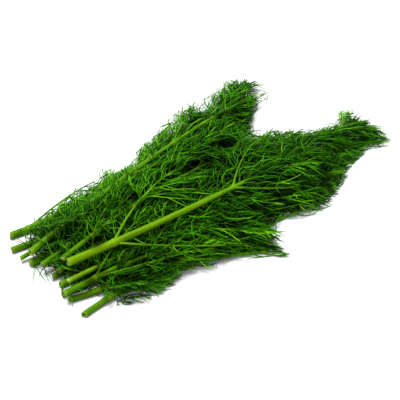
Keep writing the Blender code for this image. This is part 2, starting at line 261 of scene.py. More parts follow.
def growBranches(rng):
    # pairs of side branches at each node, drawn again until they are clear of all the others,
    # each time a little shorter and nearer the stem
    rule = sideBranch
    t = np.linspace(0, 1, rule["stemRods"] + 1)
    middles = (t[1:] + t[:-1]) / 2
    rods = join([
        lineRods(stemLine(stem, t), layout["nodeSwells"] * stemRadius(stem[3], middles), number)
        for number, stem in layout["stems"].items()
    ])
    stemRods = len(rods["radii"])
    grown = {number: [] for number in layout["stems"]}
    for number, stem in reversed(layout["stems"].items()):
        for node, t in enumerate(nodePlaces(stem)):
            start = stemLine(stem, t)[0]
            heading = headings(lambda at: stemLine(stem, at), t, 0.001)[0]
            raised = min(start[2] / rule["high"], 1.0)
            levels = np.array(rule["levelLow"]) * (1 - raised)
            levels += np.array(rule["levelHigh"]) * raised
            longest = rule["shortest"] + rule["gain"] * (1 - t)
            widths = rule["opens"]
            if node == 0 and stem[0][2] < 0:
                # the lowest pair of a stem on the table spreads wider
                longest *= rule["lowestShare"]
                widths = rule["lowestOpens"]
            for hand in (1, -1):
                for late in np.arange(rule["tries"]) / rule["tries"]:
                    opens = rng.uniform(*widths) * (1 - rule["closes"] * late)
                    level = rng.uniform(*levels)
                    length = longest * rng.uniform(*rule["lengths"]) * (1 - rule["shortens"] * late)
                    isSet = late == 0 and (number, node, hand) in layout["setBranches"]
                    if isSet:
                        opens, level, length = layout["setBranches"][number, node, hand]
                    opens, level = math.radians(opens), math.radians(level)
                    branch = (start, heading, hand * levelSide(heading), opens, level, length)
                    line, radii = branchStretches(branch)
                    others = rods["owners"] != number
                    own = ~others
                    own[:stemRods] = False
                    if (
                        (isSet or outlineRoom(line[1:]).min() > 0)
                        and line[:, 2].max() < rule["highest"]
                        and smallestGap(line, radii, pick(rods, others)) > rule["clear"]
                        and smallestGap(line[1:], radii[1:], pick(rods, own)) > rule["clear"]
                    ):
                        grown[number].append((t, hand, branch))
                        rods = join([rods, lineRods(line, radii, number)])
                        break
    return grown


# leaves: pinnules on the side branches, threads on those, and forks on the threads
foliage = {
    "seed": 66,  # and the stem's number
    "stemLength": 240,  # mm: about what all stems have
    "usual": 20,  # mm: the length of leaf that the sags are given for
    "sags": (0.1, 1),
    # spacing and lengths are in mm; opens and roll in degrees; first and last are shares of
    # what they stand on; fineness is 0 for a stalk's foot and 1 for a thread's tip
    "pinnule": {
        "spacing": 11, "first": 0.05, "last": 0.97, "opens": (26, 62), "bends": (0.3, 1),
        "roll": 26, "radius": (0.44, 0.34), "fineness": (0.3, 0.6), "sag": 3,
        # at least so long, and more by a share of the side branch, less towards its tip; then
        # drawn shorter or longer
        "length": (10, 0.48), "shrinks": 0.75, "drawn": (0.8, 1.15), "toneSpread": 0.18,
    },
    "thread": {
        "spacing": 7.6, "first": 0.1, "last": 0.97, "opens": (22, 88), "bends": (0.7, 1.8),
        "roll": 48, "radius": (0.42, 0.24), "fineness": (0.55, 1), "sag": 3,
        "length": (17, 38), "toneSpread": 0.34,
        # longest at their stalk's foot, and less towards its tip; and by its length over so
        # many mm, from so short to so long
        "fades": (1.1, 0.35), "byStalk": (20, 0.55, 1),
    },
    "fork": {
        "first": 0.2, "last": 0.6, "opens": (14, 44), "bends": (0.3, 1.3),
        "roll": 40, "radius": (0.34, 0.2), "fineness": (0.62, 1), "sag": 1.4,
        "length": (9, 19), "toneSpread": 0.1, "byStalk": (16, 0.6, 1.1),
    },
    # small leaves on the stems between the side branches, scattered by a share of the stem
    "sprig": {
        "spacing": 4.6, "opens": (30, 110), "bends": (0.2, 0.6), "roll": 75,
        "radius": (0.44, 0.34), "fineness": (0.25, 0.6), "sag": 6, "length": (12, 24),
        "scatter": 0.008,
    },
    # from how far to how far along each stem they stand
    "sprigs": {
        1: (0.1, 0.3), 2: (0.05, 0.26), 3: (0.02, 0.26), 4: (0.02, 0.26), 5: (0.04, 0.26),
        6: (0.08, 0.3), 7: (0.16, 0.4), 8: (0.18, 0.4), 9: (0.04, 0.45), 10: (0.02, 0.45),
        11: (0.03, 0.4), 12: (0.24, 0.5), 14: (0.09, 0.5), 15: (0.16, 0.6),
    },
    # how much of a side branch is bare, for the first pairs of some stems
    "bare": {(16, 0): 0.44, (1, 0): 0.3, (8, 0): 0.4},
    # threads on the last of each stem
    "stemThreads": {"spacing": 2.6, "first": 0.72},
    # stretches of stems covered by threads that arch over them: from and to, and how long
    "crowns": {
        1: ((0.88, 1, (12, 22)),), 4: ((0.72, 1, (14, 28)),),
        5: ((0.8, 1, (14, 24)),), 9: ((0.1, 0.5, (12, 22)),),
        10: ((0.14, 0.5, (12, 22)),), 12: ((0.3, 0.6, (12, 24)),),
        11: ((0.62, 1, (16, 30)), (0.8, 1, (10, 18))),
        14: ((0.76, 1, (14, 26)), (0.14, 0.48, (12, 24))),
        15: ((0.22, 0.64, (12, 24)),),
        16: ((0.66, 1, (22, 42)), (0.67, 0.84, (18, 34))),
    },
    "crown": {
        "spacing": 1.8, "opens": (16, 85), "bends": (0.4, 1.5), "roll": 85,
        "radius": (0.42, 0.24), "fineness": (0.35, 1), "sag": 7, "darkest": 0.2,
        "fades": (1.15, 0.45),
    },
    # side branches that end in a thick tuft, some of it past the outline
    "tufts": ((11, 5, 1), (11, 5, -1), (11, 4, 1), (11, 4, -1), (4, 5, 1), (4, 4, 1),
              (8, 3, -1), (8, 0, -1), (1, 5, -1), (14, 5, -1), (14, 4, -1)),
    "tuft": {
        "spacing": 1.25, "first": 0.25, "last": 1, "opens": (10, 50), "bends": (0.2, 1.1),
        "roll": 70, "radius": (0.37, 0.22), "fineness": (0.45, 1), "sag": 3,
        "length": (11, 21), "toneSpread": 0.3, "slack": 5,
    },
    # by how much of their length leaves hang over to the right side, along the bunch, and
    # what share of that across it; some hang the other way
    "drape": {"along": ((-30, 0), (60, 0.9), (120, 0.9), (145, 0.15)),
              "across": ((0, 1), (40, 0)), "draw": (-0.3, 1)},
    # how far leaves may go past the outline, by what that is drawn smaller or larger, and the
    # shares that longer ones are cut back by
    "outlineSlack": 2.2,
    "slackDrawn": (0.3, 1.3),
    "cutBack": (0.75, 0.7),
    # where leaves stand out past it, how widely, and by how much more
    "spurs": ((-12, 87, 6, 7), (-39, 83, 5, 8), (26, 94, 6, 6), (108, 111, 5, 6),
              (152, 90, 5, 7), (137, 72, 5, 7), (118, 48, 6, 5), (135, 39, 5, 5),
              (180, 32, 5, 6), (182, -20, 5, 6), (40, -64, 5, 7), (-13, -48, 5, 7),
              (-62, -38, 5, 8)),
    # notches in the leaves' outline: where on the table, how wide
    "notches": ((108, 101, 5), (141, 84, 3), (126, 64, 5), (94, 51, 3), (143, 34, 4)),
    "lowest": 0.5,
    # how high the leaves of all stems but the last may reach along the bunch, and those of the
    # last; the others stay low where the last stem's first side branches lie bare
    "heap": ((-110, 13.05, 21.6), (-60, 19.72, 34.2), (0, 22.62, 36), (40, 27.55, 36),
             (90, 24.65, 30.6), (180, 17.4, 21.6)),
    "pastTop": 2,
    # and how high at the outline, in mm, and how steeply the heap rises inside it
    "edge": (5, 1.2),
    # so many layers of leaf take the daylight down by e
    "layers": 0.46,
    # how far in from the outline daylight reaches from the side, along the bunch
    "sideLight": ((-110, 14), (-85, 24), (20, 28), (50, 12)),
    # hollows between the leafy stems, where the leaves lie deep and get painted shade, as do stems
    # there: where, how wide
    "hollows": ((31, 28, 20, 7), (22, 28, 19, 5), (39, 30, 20, 6), (-67, 15, 12, 7),
                (-54, -17, 13, 6), (-37, -30, 13, 5), (97, -36, 13, 6), (104, -28, 14, 6),
                (12, -37, 18, 5), (40, -43, 14, 6), (-23, 33, 16, 6), (-79, -8, 9, 6),
                (-65, -24, 9, 6), (62, 38, 18, 6), (56, -31, 18, 5), (33, -31, 20, 5),
                (-88, -8, 8, 5), (16, 40, 18, 5)),
    # how they lean, in mm a mm of height, how much lower the heap is in them, and how much of the
    # light their painted shade takes off
    "lean": (-0.68, -0.88),
    "hollowShare": 0.6,
    "hollowPaintedShade": 0.95,
    # the tubes of all leaves: how much daylight is evened out along each, and the least that
    # is left; how dark the darkest are, and how wide a tube and the edge are in the map
    "tube": {"lowest": 0.1, "evened": 0.65, "least": 0.03, "darkest": 0.45, "wide": 0.012,
             "edge": 0.003},
    "grid": {"low": (-160, -120, 0), "cell": (3, 3, 1), "cells": (124, 90, 50)},
}


def spread(rng, limits, count):
    return rng.uniform(limits[0], limits[1], count)


def arcPoints(arcs, u):
    # points of many arcs at once, which hang over to the right and sag with distance squared
    names = ("start", "heading", "outward", "opens", "bends")
    length = arcs["length"][:, None, None]
    points = arc(*(arcs[name][:, None] for name in names), length, u)
    points[..., 1] -= arcs["drape"][:, None] * u * u
    points[..., 2] -= arcs["sag"][:, None] * u * u
    points[..., 2] = np.maximum(points[..., 2], foliage["lowest"])
    return points


def pointAt(arcs, u):
    # one point of each arc
    return arcPoints(arcs, np.broadcast_to(u, len(arcs["length"]))[:, None])[:, 0]


def fromAxes(points, x, y, z):
    # how far points are from axes that lean as the hollows do, in mm
    above = points[..., 2, None] - z
    awayX = points[..., 0, None] - x - foliage["lean"][0] * above
    awayY = points[..., 1, None] - y - foliage["lean"][1] * above
    return np.hypot(awayX, awayY)


def leafRoom(points):
    # the room inside the outline, less its notches, and more by a bell curve at each spur
    x, y, wide = np.array(foliage["notches"], float).T
    clear = (fromAxes(points, x, y, 0.0) - wide).min(-1) - foliage["outlineSlack"]
    x, y, wide, more = np.array(foliage["spurs"], float).T
    past = (more * np.exp(-((fromAxes(points, x, y, 0.0) / wide) ** 2))).max(-1)
    return np.minimum(outlineRoom(points) + past, clear)


def inHollow(points):
    # 1 in the middle of a leaning hollow, falling off steeply round its axis
    x, y, z, wide = np.array(foliage["hollows"], float).T
    return np.exp(-((fromAxes(points, x, y, z) / wide) ** 4)).max(-1)


def heapTop(points, owners):
    # the heap's height along the bunch, or less near the outline, from where it rises evenly;
    # the hollows take a share of it
    isLast = owners == len(layout["stems"])
    x, most, last = np.array(foliage["heap"], float).T
    atEdge, rise = foliage["edge"]
    slope = atEdge + rise * np.maximum(outlineRoom(points), 0.0)
    height = np.where(isLast, np.interp(points[:, 0], x, last), np.interp(points[:, 0], x, most))
    return np.minimum(height, slope) * (1 - foliage["hollowShare"] * inHollow(points))


def drapeShare(points):
    # past the middle, leaves on the bunch's right side hang over towards that side
    rule = foliage["drape"]
    return between(points[:, 0], rule["along"]) * between(points[:, 1], rule["across"])


def sprout(rng, places, lengths, rule, tones, owners):
    # leaves go off to the left or right of their places, rolled out of the plane at random
    points, tangents, normals, hands = places
    count = len(points)
    sideways = unit(np.cross(normals, tangents)) * hands[:, None]
    roll = np.radians(rng.uniform(-1, 1, count) * rule["roll"])[:, None]
    drape = drapeShare(points)
    arcs = {
        "start": points, "heading": tangents,
        "outward": np.cos(roll) * sideways + np.sin(roll) * normals,
        "opens": np.radians(spread(rng, rule["opens"], count)),
        "bends": spread(rng, rule["bends"], count), "length": lengths,
        "sag": rule["sag"] * spread(rng, foliage["sags"], count) * (1 + 2 * drape),
        "drape": drape * lengths * spread(rng, foliage["drape"]["draw"], count),
        "tone": tones, "owner": owners,
        "radius": np.tile(rule["radius"], (count, 1)),
        "fineness": np.tile(rule["fineness"], (count, 1)),
    }
    arcs["sag"] *= (lengths / foliage["usual"]) ** 2
    # one that would leave the heap above or below is turned over instead
    tip = pointAt(arcs, 1.0)
    out = (tip[:, 2] > heapTop(tip, owners)) | (tip[:, 2] <= foliage["lowest"])
    upward = (arcs["outward"][out] * normals[out]).sum(1)[:, None]
    arcs["outward"][out] -= 2 * upward * normals[out]
    # and one that would leave the outline is shorter, or isn't grown, nor is one that would
    # cover a hollow
    slack = rule.get("slack", foliage["outlineSlack"])
    for share in foliage["cutBack"]:
        tip = pointAt(arcs, 1.0)
        out = leafRoom(tip) < -slack * spread(rng, foliage["slackDrawn"], count)
        out |= tip[:, 2] > heapTop(tip, owners) + foliage["pastTop"]
        arcs["length"] = np.where(out, arcs["length"] * share, arcs["length"])
    halfway = pointAt(arcs, 0.55)
    covers = inHollow(halfway) > rng.uniform(0.4, 1, count)
    covers &= halfway[:, 2] > heapTop(halfway, owners)
    most = slack * foliage["slackDrawn"][1]
    return pick(arcs, (leafRoom(pointAt(arcs, 1.0)) > -most) & ~covers)


def arcPlaces(arcs, u, hands):
    # a place on each arc: its point, its heading, what is normal to the arc, and its hand
    turned = (arcs["opens"] * (1 - arcs["bends"] * u))[:, None]
    tangents = unit(np.cos(turned) * arcs["heading"] + np.sin(turned) * arcs["outward"])
    normals = unit(np.cross(arcs["heading"], arcs["outward"]))
    return pointAt(arcs, u), tangents, normals, hands


def stemPlaces(stem, t):
    # the same for places on a stem, by turns to its left and right
    points = stemLine(stem, t)
    tangents = unit(stemLine(stem, t + 0.01) - stemLine(stem, t - 0.01))
    normals = unit(np.cross(tangents, levelSide(tangents)))
    return points, tangents, normals, np.tile([1.0, -1.0], len(t) // 2)


def plantPairs(rng, arcs, rule):
    # places for pairs along each arc, an even spacing apart, with a little scatter
    first = np.maximum(rule["first"], arcs["bare"])
    share = rule["last"] - first
    counts = np.maximum(np.round(arcs["length"] * share / rule["spacing"]).astype(int), 1)
    parent = np.repeat(np.arange(len(counts)), counts)
    rank = np.arange(len(parent)) - np.repeat(np.cumsum(counts) - counts, counts)
    steps = (rank + 0.5 + rng.uniform(-0.3, 0.3, len(parent))) / counts[parent]
    u = np.repeat(first[parent] + share[parent] * steps, 2)
    hands = np.tile([1.0, -1.0], len(parent))
    u = np.clip(u + rng.uniform(-0.01, 0.01, len(u)), 0.02, 0.995)
    parents = pick(arcs, np.repeat(parent, 2))
    return parents, u, arcPlaces(parents, u, hands)


def pairsAlong(first, last, spacing):
    # places for pairs along a stem, from one to the other, so many mm apart
    return np.repeat(np.arange(first, last, spacing / foliage["stemLength"]), 2)


def growOn(rng, parents, places, lengths, rule):
    # leaves on side branches or on other leaves, with about the same tone as those
    tones = parents["tone"] + rng.normal(0, rule["toneSpread"], len(lengths))
    return sprout(rng, places, lengths, rule, np.clip(tones, 0, 1), parents["owner"])


def growOnStem(rng, number, t, limits, rule, share=1.0):
    # leaves straight out of a stem, a share of what is drawn between two lengths
    lengths = spread(rng, limits, len(t)) * share
    places = stemPlaces(layout["stems"][number], t)
    tones = rng.uniform(rule.get("darkest", 0), 1, len(t))
    return sprout(rng, places, lengths, rule, tones, np.full(len(t), number))


def fading(rule, u):
    # shorter evenly from u = 0 to 1
    longest, less = rule["fades"]
    return longest - less * u


def byStalk(rule, stalks):
    # shorter on short stalks than on long ones
    usual, least, most = rule["byStalk"]
    return np.clip(stalks["length"] / usual, least, most)


def growLeaves(rng, number, branches):
    # pinnules, then threads on those and on the side branches, then forks on the threads
    start, heading, side, opens, level, length = zip(*(b[2] for b in branches))
    length, count = np.array(length, float), len(branches)
    nodes = list(nodePlaces(layout["stems"][number]))
    places = [(number, nodes.index(t), hand) for t, hand, _ in branches]
    stalks = {
        "start": np.array(start), "heading": np.array(heading),
        "outward": np.array([branchSide(*both) for both in zip(side, level)]),
        "opens": np.array(opens), "bends": np.full(count, sideBranch["bends"]),
        "length": length, "sag": sideBranch["sag"] * (length / sideBranch["usual"]) ** 2,
        "drape": np.zeros(count), "tone": rng.uniform(0, 1, count),
        "owner": np.full(count, number),
        "bare": np.array([foliage["bare"].get(place[:2], 0.0) for place in places]),
    }
    isTuft = np.array([place in foliage["tufts"] for place in places])
    rule = foliage["pinnule"]
    on, u, places = plantPairs(rng, stalks, rule)
    shortest, gain = rule["length"]
    lengths = shortest + gain * on["length"] * (1 - rule["shrinks"] * u)
    pinnules = growOn(rng, on, places, lengths * spread(rng, rule["drawn"], len(u)), rule)
    if number in foliage["sprigs"]:
        rule = foliage["sprig"]
        t = pairsAlong(*foliage["sprigs"][number], rule["spacing"])
        t += rng.uniform(-rule["scatter"], rule["scatter"], len(t))
        pinnules = join([pinnules, growOnStem(rng, number, t, rule["length"], rule)])
    pinnules["bare"] = np.zeros(len(pinnules["length"]))
    rule = foliage["thread"]
    on, u, places = plantPairs(rng, join([pinnules, stalks]), rule)
    lengths = spread(rng, rule["length"], len(u)) * fading(rule, u)
    threads = [growOn(rng, on, places, lengths * byStalk(rule, on), rule)]
    # the stem's own end carries threads too
    t = pairsAlong(foliage["stemThreads"]["first"], 1.0, foliage["stemThreads"]["spacing"])
    threads.append(growOnStem(rng, number, t, rule["length"], rule))
    rule = foliage["crown"]
    for first, last, limits in foliage["crowns"].get(number, ()):
        t = pairsAlong(first, last, rule["spacing"])
        share = fading(rule, (t - first) / (last - first))
        threads.append(growOnStem(rng, number, t, limits, rule, share))
    if isTuft.any():
        rule = foliage["tuft"]
        on, u, places = plantPairs(rng, pick(stalks, isTuft), rule)
        threads.append(growOn(rng, on, places, spread(rng, rule["length"], len(u)), rule))
    threads = join(threads)
    rule = foliage["fork"]
    u = spread(rng, (rule["first"], rule["last"]), len(threads["length"]))
    places = arcPlaces(threads, u, rng.choice([1.0, -1.0], len(u)))
    lengths = spread(rng, rule["length"], len(u)) * byStalk(rule, threads)
    return pinnules, threads, growOn(rng, threads, places, lengths, rule)


def cellsAt(points):
    # the cells that points lie in
    grid = foliage["grid"]
    cells = np.floor((points - grid["low"]) / grid["cell"]).astype(int)
    return tuple(np.moveaxis(cells, -1, 0))


def leavesAbove(groups):
    # how many layers of leaf lie above each cell of a grid: the area of the leaves in the
    # cells over it, summed from the top down, as a share of a cell's own area
    grid = foliage["grid"]
    area = np.zeros(grid["cells"])
    parts = 8
    for arcs in groups:
        u = np.broadcast_to(np.linspace(0.06, 0.94, parts), (len(arcs["length"]), parts))
        each = arcs["length"] * arcs["radius"].sum(1) / parts
        np.add.at(area, cellsAt(arcPoints(arcs, u)), each[:, None])
    return area[:, :, ::-1].cumsum(axis=2)[:, :, ::-1] / (grid["cell"][0] * grid["cell"][1])


def daylight(points, above):
    # 1 where nothing lies above, and e times less for each so many layers of leaf; the mean
    # of four places round the point. Leaves at the outline get more of it from the side.
    light = 0.0
    reaches = between(points[..., 0], foliage["sideLight"])
    sideways = np.clip(outlineRoom(points) / reaches, 0.08, 1)
    for dx, dy in ((1, 1), (1, -1), (-1, 1), (-1, -1)):
        beside = np.array([dx * 0.4, dy * 0.4, 0.8]) * foliage["grid"]["cell"]
        layers = above[cellsAt(points + beside)]
        light = light + np.exp(-layers * sideways / foliage["layers"]) / 4
    return light


def lightIn(light, points):
    # what of the light is left in the hollows
    return light * (1 - foliage["hollowPaintedShade"] * inHollow(points))


def addObject(name, data):
    made = bpy.data.objects.new(name, data)
    bpy.context.scene.collection.objects.link(made)
    return made


def putMesh(name, verts, tris, uvs, attributes, material):
    # verts in layout mm; uvs per corner; the arrays go in by foreach_set
    mesh = bpy.data.meshes.new(name)
    mesh.vertices.add(len(verts))
    placed = (verts - np.array([*layout["middle"], 0.0])) * mm
    mesh.vertices.foreach_set("co", placed.astype(np.float32).ravel())
    mesh.loops.add(tris.size)
    mesh.loops.foreach_set("vertex_index", tris.astype(np.int32).ravel())
    mesh.polygons.add(len(tris))
    mesh.polygons.foreach_set("loop_start", np.arange(0, tris.size, 3, dtype=np.int32))
    mesh.polygons.foreach_set("use_smooth", np.ones(len(tris), dtype=bool))
    for layerName, values in uvs.items():
        layer = mesh.uv_layers.new(name=layerName)
        layer.data.foreach_set("uv", values.astype(np.float32).ravel())
    for attribute, values in attributes.items():
        made = mesh.attributes.new(attribute, "FLOAT", "POINT")
        made.data.foreach_set("value", values.astype(np.float32))
    mesh.materials.append(material)
    mesh.update()
    mesh.validate()
    return addObject(name, mesh)


def joinTubes(parts):
    # tubes, each with its verts, tris and corners' uvs first, as one mesh
    verts, tris, uvs = (list(kind) for kind in zip(*(part[:3] for part in parts)))
    offsets = np.cumsum([0] + [len(v) for v in verts[:-1]])
    tris = [t + offset for t, offset in zip(tris, offsets)]
    return np.concatenate(verts), np.concatenate(tris), np.concatenate(uvs)


def tubeFaces(rings, sides):
    # two triangles between each side of a ring and the next ring
    k, s = np.meshgrid(np.arange(rings - 1), np.arange(sides), indexing="ij")
    a, b = k * sides + s, k * sides + (s + 1) % sides
    return np.stack([a, b, b + sides, a, b + sides, a + sides], axis=-1).reshape(-1, 3)


def circles(across, normals, sides):
    # unit vectors in a circle round each place, from across it towards its normal
    angle = (np.arange(sides) * 2 * math.pi / sides)[:, None]
    return np.cos(angle) * across[..., None, :] + np.sin(angle) * normals[..., None, :]


def threadTubes(arcs, rings, above):
    # three-sided tapering tubes along the arcs: a closed foot, then rings, then a pointed tip
    rule = foliage["tube"]
    sides, n = 3, len(arcs["length"])
    u = np.broadcast_to(np.linspace(0, 1, rings + 1), (n, rings + 1))
    centres = arcPoints(arcs, u)
    tangents = unit(np.gradient(centres, axis=1))
    planes = unit(np.cross(arcs["heading"], arcs["outward"]))
    across = unit(np.cross(planes[:, None], tangents))
    foot, end = arcs["radius"].T[..., None]
    radius = (foot * (1 - u) + end * u)[..., None, None]
    ring = centres[:, :, None] + radius * circles(across, np.cross(tangents, across), sides)
    verts = np.concatenate([ring[:, :rings].reshape(n, -1, 3), centres[:, rings:]], axis=1)
    verts[..., 2] = np.maximum(verts[..., 2], rule["lowest"])
    last = sides * (rings - 1) + np.arange(sides)
    turned = sides * (rings - 1) + (np.arange(sides) + 1) % sides
    tip = np.stack([last, turned, np.full(sides, sides * rings)], axis=1)
    faces = np.concatenate([[(0, 2, 1)], tubeFaces(rings, sides), tip])
    # the map's u is the tone times the painted shade of the leaves above and of the hollows, a
    # little wide;
    # its v is how fine the tube is, from a side branch's foot to a leaf's tip
    level = np.concatenate([np.repeat(np.arange(rings), sides), [rings]]) / rings
    foot, end = arcs["fineness"].T[..., None]
    v = foot * (1 - level) + end * level
    light = daylight(centres, above)
    light = light + rule["evened"] * (light.mean(axis=1, keepdims=True) - light)
    shade = rule["least"] + (1 - rule["least"]) * lightIn(light, centres)
    shade = np.concatenate([np.repeat(shade[:, :rings], sides, axis=1), shade[:, rings:]], axis=1)
    tone = rule["darkest"] + (1 - rule["darkest"]) * arcs["tone"][:, None]
    wide = rule["wide"] * np.concatenate([np.tile([-1.0, 0.0, 1.0], rings), [0.0]])
    edge = rule["edge"]
    uv = np.stack([0.02 + 0.96 * tone * shade + wide, v], axis=-1).clip(edge, 1 - edge)
    tris = faces[None] + (np.arange(n) * verts.shape[1])[:, None, None]
    return verts.reshape(-1, 3), tris.reshape(-1, 3), uv[:, faces].reshape(-1, 2)


def surface(grid, v):
    # a closed tube from a grid of points (rings, sides, 3), with a fan at each end
    rings, sides = grid.shape[:2]
    verts = np.concatenate([grid.reshape(-1, 3), grid[0].mean(0)[None], grid[-1].mean(0)[None]])
    near = np.arange(sides)
    far = (near + 1) % sides
    last = (rings - 1) * sides
    foot = np.stack([far, near, np.full(sides, rings * sides)], axis=1)
    head = np.stack([last + near, last + far, np.full(sides, rings * sides + 1)], axis=1)
    tris = np.concatenate([tubeFaces(rings, sides), foot, head])
    # u goes around and v along; the last side's far corners go on to 1
    uvGrid = np.stack(np.broadcast_arrays(near / sides, v[:, None]), axis=-1).reshape(-1, 2)
    corners = np.concatenate([uvGrid, [[0.5, v[0]], [0.5, v[-1]]]])[tris]
    reach = corners[..., 0].max(1) - corners[..., 0].min(1)
    wraps = (reach > 0.5) & (tris.max(1) < rings * sides)
    corners[..., 0] += wraps[:, None] & (corners[..., 0] < 0.5)
    return verts, tris, corners.reshape(-1, 2)


stemShape = {
    # how light and yellow each stem is
    "light": {1: 0.35, 2: 0.22, 3: 0.2, 4: 0.15, 5: 0.25, 6: 0.45, 7: 0.55, 8: 0.4, 9: 0.15,
              10: 0.3, 11: 0.1, 12: 0.85, 13: 0.2, 14: 0.55, 15: 0.3, 16: 1},
    # how much paler the cut end's face is, and the skin next to it
    "cut": {12: (1, 1), 15: (0.9, 0.9)},
    "usualCut": (0.22, 0.3),
    "nodePale": 0.35,
    "sides": 30,
    "rings": 90,
    "share": 0.94,  # of the solid's radius, so that both hold as much
    "ribs": 10,
    "ribDepth": 0.035,
    "twist": 0.004,  # radians a mm
    "wave": (0.025, 17),  # a slow wave in its thickness: how much, and over how many mm
    "nodeSwell": 0.2,
    "nodeReach": 1.8,  # mm
    # the hollow from its floor out to the skin: mm deep, and how wide, by the stem's radius
    "hollow": ((7, 0.05), (4.2, 0.4), (2, 0.475), (0.25, 0.49), (0, 0.515),
               (0, 0.675), (0.12, 0.86)),
    "slant": 0.9,  # mm of slope across the cut end, down to so deep in it
    "slantDepth": 2,
    # the first two rings: how much of the slope they take, and how many mm farther in they are
    "rim": ((1, 0.35), (0.4, 0.1)),
    "end": ((2, 0.6), (6, 0.25)),  # mm past the last ring, and how wide
    "lowest": 0.02,
    # the least of the stems' painted light, under the most leaves: painted shade
    "deepest": 0.22,  # how light the stems are under the most leaves
    "fibreMap": 300,  # mm of stem in one unit of the map
    "before": 6,  # mm of the map that the hollow takes
}


def onRings(sides, values):
    # attributes of a surface: a value for each ring's points, then one for each end's middle
    return {key: np.append(np.repeat(ring, sides), ends) for key, (ring, ends) in values.items()}


def stemTube(rng, number):
    # a ribbed ring carried along the stem's line, swollen by a bell curve at each node
    shape, stem = stemShape, layout["stems"][number]
    nodes = nodePlaces(stem)
    close = np.repeat(nodes, 3) + np.tile([-0.008, 0, 0.008], len(nodes))
    t = np.clip(np.sort(np.concatenate([np.linspace(0, 1, shape["rings"]), close])), 0, 1)
    line = stemLine(stem, t)
    length = np.concatenate([[0], np.cumsum(np.linalg.norm(np.diff(line, axis=0), axis=1))])
    ahead = headings(lambda at: stemLine(stem, at), t, 0.004)
    fromNodes = length[:, None] - np.interp(nodes, t, length)
    bump = np.exp(-((fromNodes / shape["nodeReach"]) ** 2)).sum(1)
    radius = shape["share"] * stemRadius(stem[3], t) * (1 + shape["nodeSwell"] * bump)
    wave, waveLength = shape["wave"]
    radius *= 1 + wave * np.sin(length / waveLength + rng.uniform(0, 6))
    angle = np.arange(shape["sides"]) * 2 * math.pi / shape["sides"]
    turn = rng.uniform(0, 6) + length * shape["twist"]
    ribs = 1 + shape["ribDepth"] * np.cos(shape["ribs"] * (angle[None] + turn[:, None]))
    side = levelSide(ahead)
    ring = circles(side, unit(np.cross(ahead, side)), shape["sides"])
    outer = line[:, None] + (radius[:, None] * ribs)[..., None] * ring
    # the hollow: from its floor out to the cut's inner edge, then over the rim; the cut slants
    slope = shape["slant"] * rng.uniform(0.3, 1.0) * np.cos(angle - rng.uniform(0, 6))
    depths, widths = np.array(shape["hollow"]).T
    inner = line[0] + depths[:, None, None] * ahead[0]
    inner = inner + widths[:, None, None] * radius[0] * ring[0]
    near = np.clip(1 - depths / shape["slantDepth"], 0, 1)[:, None]
    inner += (near * slope)[..., None] * ahead[0]
    for edge, (share, farther) in zip(outer, shape["rim"]):
        edge += (slope * share + farther)[:, None] * ahead[0]
    # and the far end, which narrows past the last ring
    past, narrow = np.array(shape["end"]).T
    ends = line[-1] + ahead[-1] * past[:, None, None] + narrow[:, None, None] * (
        radius[-1] * ring[-1]
    )
    grid = np.concatenate([inner, outer, ends])
    grid[..., 2] = np.maximum(grid[..., 2], shape["lowest"])
    before, count = shape["before"], len(inner)
    along = np.concatenate([-np.linspace(before, 0.4, count), length, length[-1] + past])
    verts, tris, uvs = surface(grid, (along + before) / shape["fibreMap"])
    faint, pale = shape["cut"].get(number, shape["usualCut"])
    nodesPale = np.clip(bump, 0, 1) * shape["nodePale"]
    nodesPale[:2] = np.array([0.9, 0.35]) * pale
    face = faint * np.array([0.0, 0.5, *np.ones(count - 2), 0.8])
    attributes = onRings(shape["sides"], {
        "pale": (np.concatenate([np.full(count, pale), nodesPale, [0, 0]]), [1, 0]),
        "cut": (np.concatenate([face, np.zeros(len(length) + 1)]), [0, 0]),
        "reach": (np.concatenate([np.zeros(count), t, [1, 1]]), [0, 1]),
    })
    return verts, tris, uvs, attributes, length[-1]


branchShape = {
    "sides": 8, "rings": 16, "radius": (0.44, 0.35), "narrows": 0.48, "lowest": 0.1,
    "sheath": 0.4125, "sheathReach": 3,  # by the stem's radius, and mm along the branch
    "footPale": 0.55, "footReach": 5,
    "longest": 92,
}


def branchTube(rng, size, at, branch):
    # a ring carried along the side branch's arc; its foot widens to a sheath round the stem
    _, heading, side, _, level, length = branch
    shape = branchShape
    u = np.linspace(0, 1, shape["rings"]) ** 1.25
    line = branchLine(branch, u)
    ahead = headings(lambda where: branchLine(branch, where), u, 0.01)
    normal = unit(np.cross(heading, branchSide(side, level)))
    across = unit(np.cross(normal, ahead))
    thinnest, gain = shape["radius"]
    radius = (thinnest + gain * length / sideBranch["usual"]) * (1 - shape["narrows"] * u)
    sheath = shape["sheath"] * stemRadius(size, at)
    radius += sheath * np.exp(-((u * length / shape["sheathReach"]) ** 2))
    radius[-1] *= 0.3
    grid = line[:, None] + radius[:, None, None] * circles(across, normal, shape["sides"])
    grid[..., 2] = np.maximum(grid[..., 2], shape["lowest"])
    v = 0.02 + u * length / stemShape["fibreMap"] + rng.uniform(0, 0.6)
    tube = surface(grid, v)
    even = np.linspace(0, 1, shape["rings"])
    pale = shape["footPale"] * np.exp(-even * length / shape["footReach"])
    reach = at + (1 - at) * (0.35 + 0.6 * even)
    return *tube, onRings(shape["sides"], {
        "pale": (pale, [0.5, 0]), "cut": (0 * u, [0, 0]), "reach": (reach, [at, 1])})


